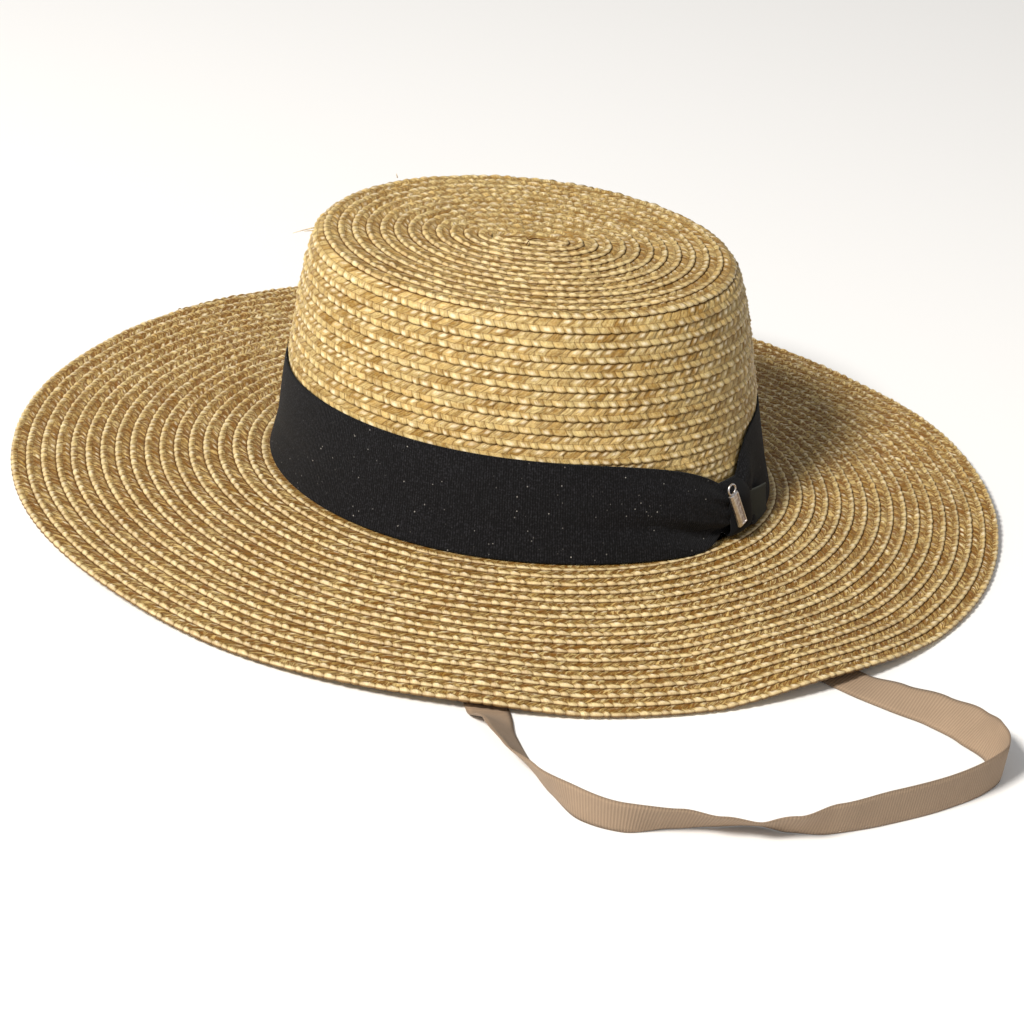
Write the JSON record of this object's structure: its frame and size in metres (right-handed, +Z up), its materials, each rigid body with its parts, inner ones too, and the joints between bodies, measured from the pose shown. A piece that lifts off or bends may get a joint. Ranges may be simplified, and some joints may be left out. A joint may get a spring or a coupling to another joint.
{
  "type": "straw boater hat",
  "caption": "Straw boater hat with a wide oval brim, a flat topped crown, a black ribbon band with a small metal tag, and a ribbon chin strap.",
  "frame": {"origin": "on the ground under the middle of the brim, where the hat rests", "axes": "+Z up through the crown, X along the long axis of the head oval, -Y towards the viewer of the picture"},
  "size_m": [0.4, 0.4399, 0.1049],
  "materials": {
    "straw": "sewn straw plait, slightly glossy",
    "black_ribbon": "matt ribbed ribbon",
    "beige_ribbon": "satin ribbed ribbon",
    "silver": "polished"
  },
  "bodies": {
    "root": {"crown": "straw", "brim": "straw", "band": "black_ribbon", "band_keeper": "black_ribbon", "band_tail": "black_ribbon", "tag": "silver", "chin_strap": "beige_ribbon"}
  },
  "joints": []
}
